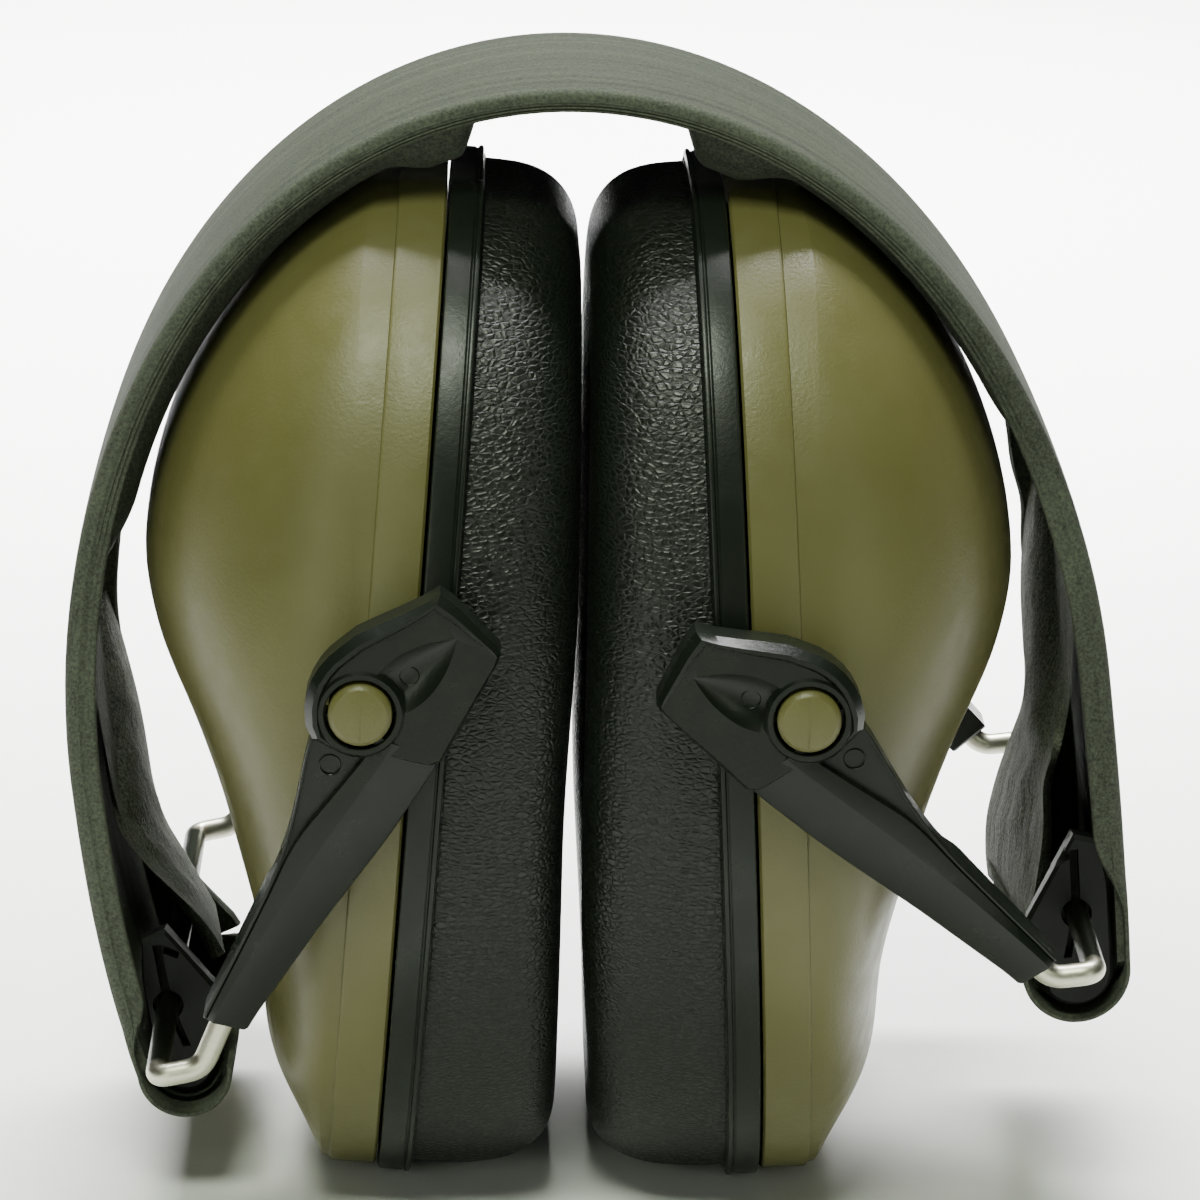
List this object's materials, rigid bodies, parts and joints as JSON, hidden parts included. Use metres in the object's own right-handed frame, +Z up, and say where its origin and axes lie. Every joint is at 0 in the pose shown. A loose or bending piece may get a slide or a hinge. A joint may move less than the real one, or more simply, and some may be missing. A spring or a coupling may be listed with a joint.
{
  "type": "folding earmuffs",
  "caption": "Passive hearing-protection earmuffs folded for carrying: two oval cups with vinyl cushions nested in a padded headband on wire yokes and plastic arms.",
  "frame": {"origin": "middle of the bounding box's footprint, on the surface the folded earmuffs stand on", "axes": "+Z up, -Y towards the front, -X the left cup; both seal plates stand on Z = 0"},
  "size_m": [0.1073, 0.0896, 0.1146],
  "materials": {
    "headband_foam": "matte",
    "spring": "satin",
    "wire": "satin",
    "arm": "satin",
    "cup": "satin",
    "plate": "satin",
    "pad": "satin",
    "foam": "matte"
  },
  "bodies": {
    "crown": {"band_cover_crown": "headband_foam", "band_spring_crown": "spring"},
    "band_left": {"band_cover_left": "headband_foam", "band_spring_left": "spring", "pivot_insert_left": "spring"},
    "wire_left": {"wire_yoke_left": "wire"},
    "arms_left": {"arm_front_left": "arm", "arm_rear_left": "arm"},
    "cup_left": {"cup_shell_left": "cup", "seal_plate_left": "plate", "cushion_frame_left": "plate", "cushion_cover_left": "pad", "cushion_foam_left": "foam", "cup_foam_left": "foam"},
    "band_right": {"band_cover_right": "headband_foam", "band_spring_right": "spring", "pivot_insert_right": "spring"},
    "wire_right": {"wire_yoke_right": "wire"},
    "arms_right": {"arm_front_right": "arm", "arm_rear_right": "arm"},
    "cup_right": {"cup_shell_right": "cup", "seal_plate_right": "plate", "cushion_frame_right": "plate", "cushion_cover_right": "pad", "cushion_foam_right": "foam", "cup_foam_right": "foam"}
  },
  "joints": [
    {"name": "flex_left", "type": "hinge", "parent": "crown", "child": "band_left", "pos_m": [-0.01717, 0, 0.11243], "axis": [0, 1, 0], "range_deg": [0, 40]},
    {"name": "fold_left", "type": "hinge", "parent": "band_left", "child": "wire_left", "pos_m": [-0.0433, 0, 0.02013], "axis": [0, 1, 0], "range_deg": [0, 70]},
    {"name": "slide_left", "type": "slide", "parent": "wire_left", "child": "arms_left", "axis": [0.3681, 0, 0.9298], "range_m": [-0.0011, 0]},
    {"name": "cup_left", "type": "hinge", "parent": "arms_left", "child": "cup_left", "pos_m": [-0.0237, 0, 0.0595], "axis": [0, 1, 0], "range_deg": [-110, 0]},
    {"name": "flex_right", "type": "hinge", "parent": "crown", "child": "band_right", "pos_m": [-0.00131, 0, 0.11454], "axis": [0, -1, 0], "range_deg": [0, 40]},
    {"name": "fold_right", "type": "hinge", "parent": "band_right", "child": "wire_right", "pos_m": [0.04812, 0, 0.0322], "axis": [0, -1, 0], "range_deg": [0, 70]},
    {"name": "slide_right", "type": "slide", "parent": "wire_right", "child": "arms_right", "axis": [-0.6639, 0, 0.7478], "range_m": [-0.0004, 0]},
    {"name": "cup_right", "type": "hinge", "parent": "arms_right", "child": "cup_right", "pos_m": [0.0189, 0, 0.0595], "axis": [0, -1, 0], "range_deg": [-110, 0]}
  ],
  "couplings": [
    {"joint": "fold_left", "follows": "flex_left", "ratio": 1.75},
    {"joint": "cup_left", "follows": "flex_left", "ratio": -2.75},
    {"joint": "fold_right", "follows": "flex_right", "ratio": 1.75},
    {"joint": "cup_right", "follows": "flex_right", "ratio": -2.75}
  ]
}
